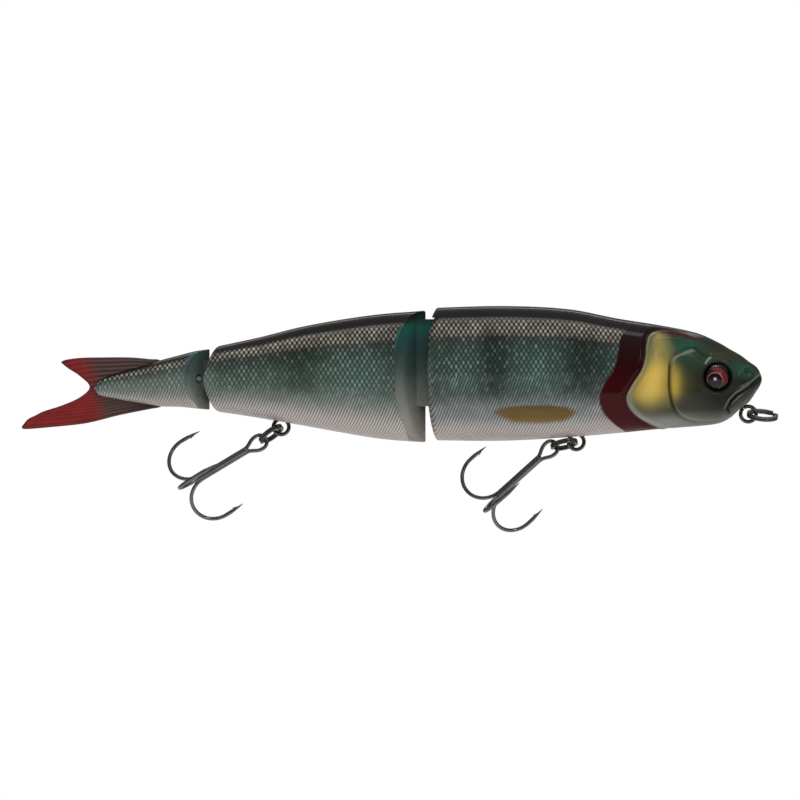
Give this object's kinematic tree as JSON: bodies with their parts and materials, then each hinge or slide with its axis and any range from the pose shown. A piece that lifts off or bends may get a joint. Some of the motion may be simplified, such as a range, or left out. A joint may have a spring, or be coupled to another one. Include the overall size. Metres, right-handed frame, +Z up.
{
  "type": "jointed swimbait",
  "caption": "Hard jointed swimbait with hinged body sections, soft forked tail fin, wire line tie, split rings and treble hooks.",
  "frame": {"origin": "the line tie: inner edge of the nose split ring, farthest ahead of the nose, where a line or snap pulls", "axes": "+X from tail to nose, the way the line pulls; +Z up to the back; +Y across to the lure's left side"},
  "size_m": [0.1688, 0.0206, 0.0506],
  "materials": {
    "painted_shell": "painted scale pattern under clear coat",
    "ballast": "dull cast",
    "black_nickel_wire": "black nickel plate",
    "stainless_pin": "drawn bright",
    "eye_iris": "printed foil",
    "eye_lens": "clear dome",
    "split_ring_steel": "black nickel plate",
    "hook_steel": "black nickel plate",
    "hinge_link_plastic": "moulded",
    "soft_fin": "translucent soft plastic"
  },
  "bodies": {
    "front_section": {"front_shell_right": "painted_shell", "front_shell_left": "painted_shell", "front_ballast": "ballast", "nose_eyelet": "black_nickel_wire", "front_hook_hanger": "black_nickel_wire", "front_hinge_pin": "stainless_pin", "right_eye_iris": "eye_iris", "right_eye_lens": "eye_lens", "left_eye_iris": "eye_iris", "left_eye_lens": "eye_lens"},
    "nose_ring": {"nose_split_ring": "split_ring_steel"},
    "front_ring": {"front_split_ring": "split_ring_steel"},
    "front_treble": {"front_treble_hook": "hook_steel"},
    "mid_section": {"mid_shell_right": "painted_shell", "mid_shell_left": "painted_shell", "mid_ballast": "ballast", "rear_hook_hanger": "black_nickel_wire", "tail_hinge_pin": "stainless_pin"},
    "rear_ring": {"rear_split_ring": "split_ring_steel"},
    "rear_treble": {"rear_treble_hook": "hook_steel"},
    "tail_section": {"tail_shell_right": "painted_shell", "tail_shell_left": "painted_shell", "tail_hinge_link": "hinge_link_plastic", "tail_cross_pin": "stainless_pin", "tail_fin": "soft_fin"}
  },
  "joints": [
    {"name": "nose_ring_swing", "type": "hinge", "parent": "front_section", "child": "nose_ring", "pos_m": [-0.00593, 0, 0.00052], "axis": [0, 1, 0], "range_deg": [-25, 75]},
    {"name": "front_ring_swing", "type": "hinge", "parent": "front_section", "child": "front_ring", "pos_m": [-0.0443, 0, -0.00567], "axis": [0, -1, 0], "range_deg": [0, 100]},
    {"name": "front_treble_sway", "type": "hinge", "parent": "front_ring", "child": "front_treble", "pos_m": [-0.04968, 0, -0.00682], "axis": [-0.2079, 0, 0.9781], "range_deg": [-24, 24]},
    {"name": "front_joint_yaw", "type": "hinge", "parent": "front_section", "child": "mid_section", "pos_m": [-0.0747, 0, 0.012], "axis": [0, 0, 1], "range_deg": [-35, 35]},
    {"name": "rear_ring_swing", "type": "hinge", "parent": "mid_section", "child": "rear_ring", "pos_m": [-0.1101, 0, -0.00232], "axis": [0, -1, 0], "range_deg": [0, 90]},
    {"name": "rear_treble_sway", "type": "hinge", "parent": "rear_ring", "child": "rear_treble", "pos_m": [-0.11455, 0, -0.00556], "axis": [-0.5878, 0, 0.809], "range_deg": [-24, 24]},
    {"name": "tail_joint_yaw", "type": "hinge", "parent": "mid_section", "child": "tail_section", "pos_m": [-0.1235, 0, 0.0084], "axis": [0, 0, 1], "range_deg": [-23, 23]}
  ]
}
